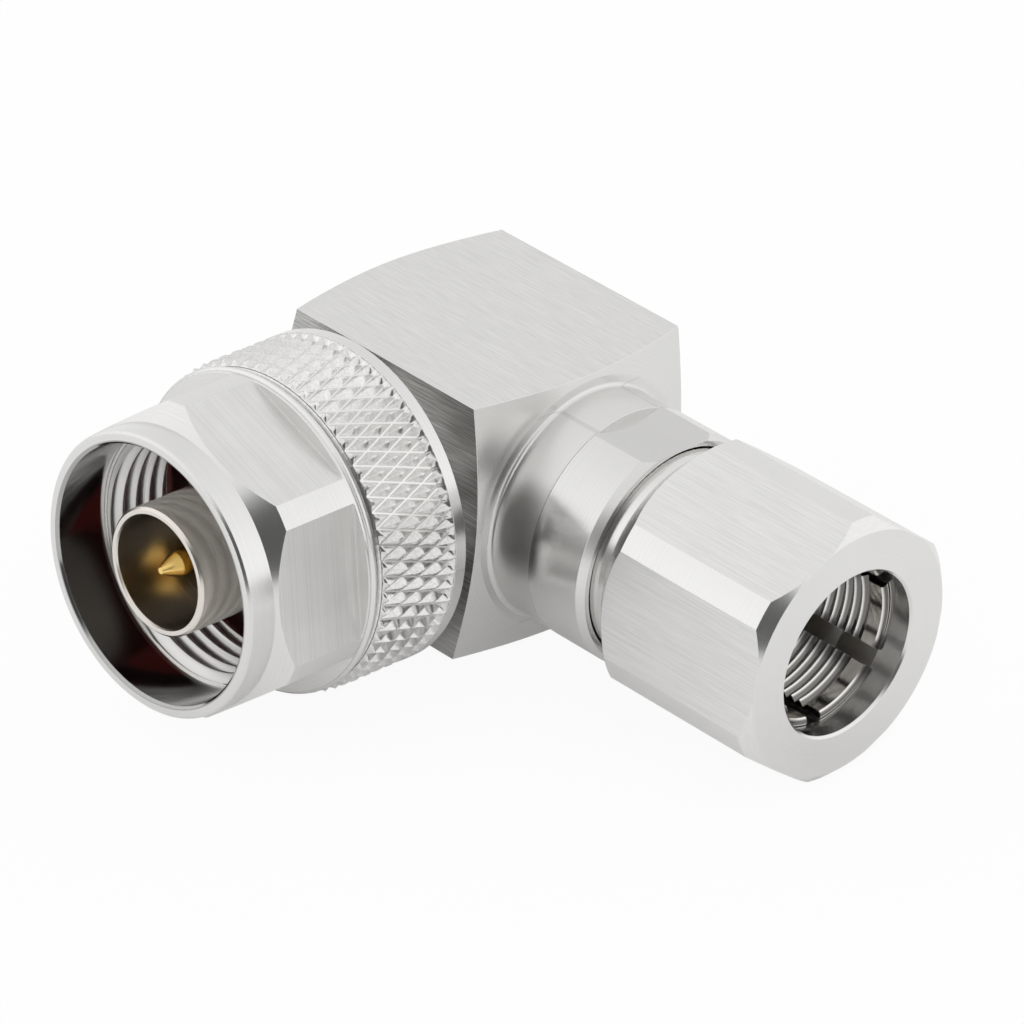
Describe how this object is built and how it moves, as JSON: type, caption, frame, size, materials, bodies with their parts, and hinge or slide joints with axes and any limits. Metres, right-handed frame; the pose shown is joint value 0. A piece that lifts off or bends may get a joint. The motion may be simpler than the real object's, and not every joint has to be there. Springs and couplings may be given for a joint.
{
  "type": "n type connector",
  "caption": "Right-angle coaxial N plug: turning coupling nut with knurl and flats, square elbow block, and a hexagonal clamp nut that grips the cable.",
  "frame": {"origin": "centre of the outer contact's free end, on the plug's axis: the mating plane", "axes": "the plug mates towards -Y, the cable leaves along +X, and +Z is the top of the elbow block"},
  "size_m": [0.0416, 0.0353, 0.0208],
  "materials": {
    "nickel_body": "nickel plate over brushed and turned brass",
    "nickel_front": "nickel plate over turned brass",
    "nickel_nut": "nickel plate over turned and knurled brass",
    "nickel_clamp": "nickel plate over turned brass",
    "nickel_cap": "nickel plate over turned brass",
    "bright_contact": "polished bright plate",
    "spring_steel": "spring steel",
    "gold": "gold plate",
    "plain_brass": "pale plated brass",
    "silicone": "dark red silicone rubber",
    "seal_rubber": "black rubber",
    "insulator": "white fluoropolymer"
  },
  "bodies": {
    "elbow": {"elbow_body": "nickel_body", "front_body": "nickel_front", "outer_contact": "bright_contact", "snap_ring": "spring_steel", "face_gasket": "silicone", "centre_pin": "gold", "front_bead": "insulator", "elbow_bead": "insulator", "cable_contact": "gold", "cable_bead": "insulator", "rear_cap": "nickel_cap", "cap_seal": "seal_rubber", "braid_cone": "plain_brass", "jacket_seal": "seal_rubber", "pressure_washer": "plain_brass"},
    "coupling": {"coupling_nut": "nickel_nut"},
    "collet": {"clamp_collet": "plain_brass"},
    "clamp": {"clamp_nut": "nickel_clamp"}
  },
  "joints": [
    {"name": "coupling_nut_spin", "type": "hinge", "parent": "elbow", "child": "coupling", "pos_m": [0, 0.012, 0], "axis": [0, -1, 0], "continuous": true},
    {"name": "clamp_travel", "type": "slide", "parent": "elbow", "child": "collet", "axis": [1, 0, 0], "range_m": [0, 0.004]},
    {"name": "clamp_nut_turn", "type": "hinge", "parent": "collet", "child": "clamp", "pos_m": [0.024, 0.0261, 0], "axis": [1, 0, 0], "range_deg": [0, 1440]}
  ],
  "couplings": [
    {"joint": "clamp_travel", "follows": "clamp_nut_turn", "m_per_rad": 0.00015915}
  ]
}
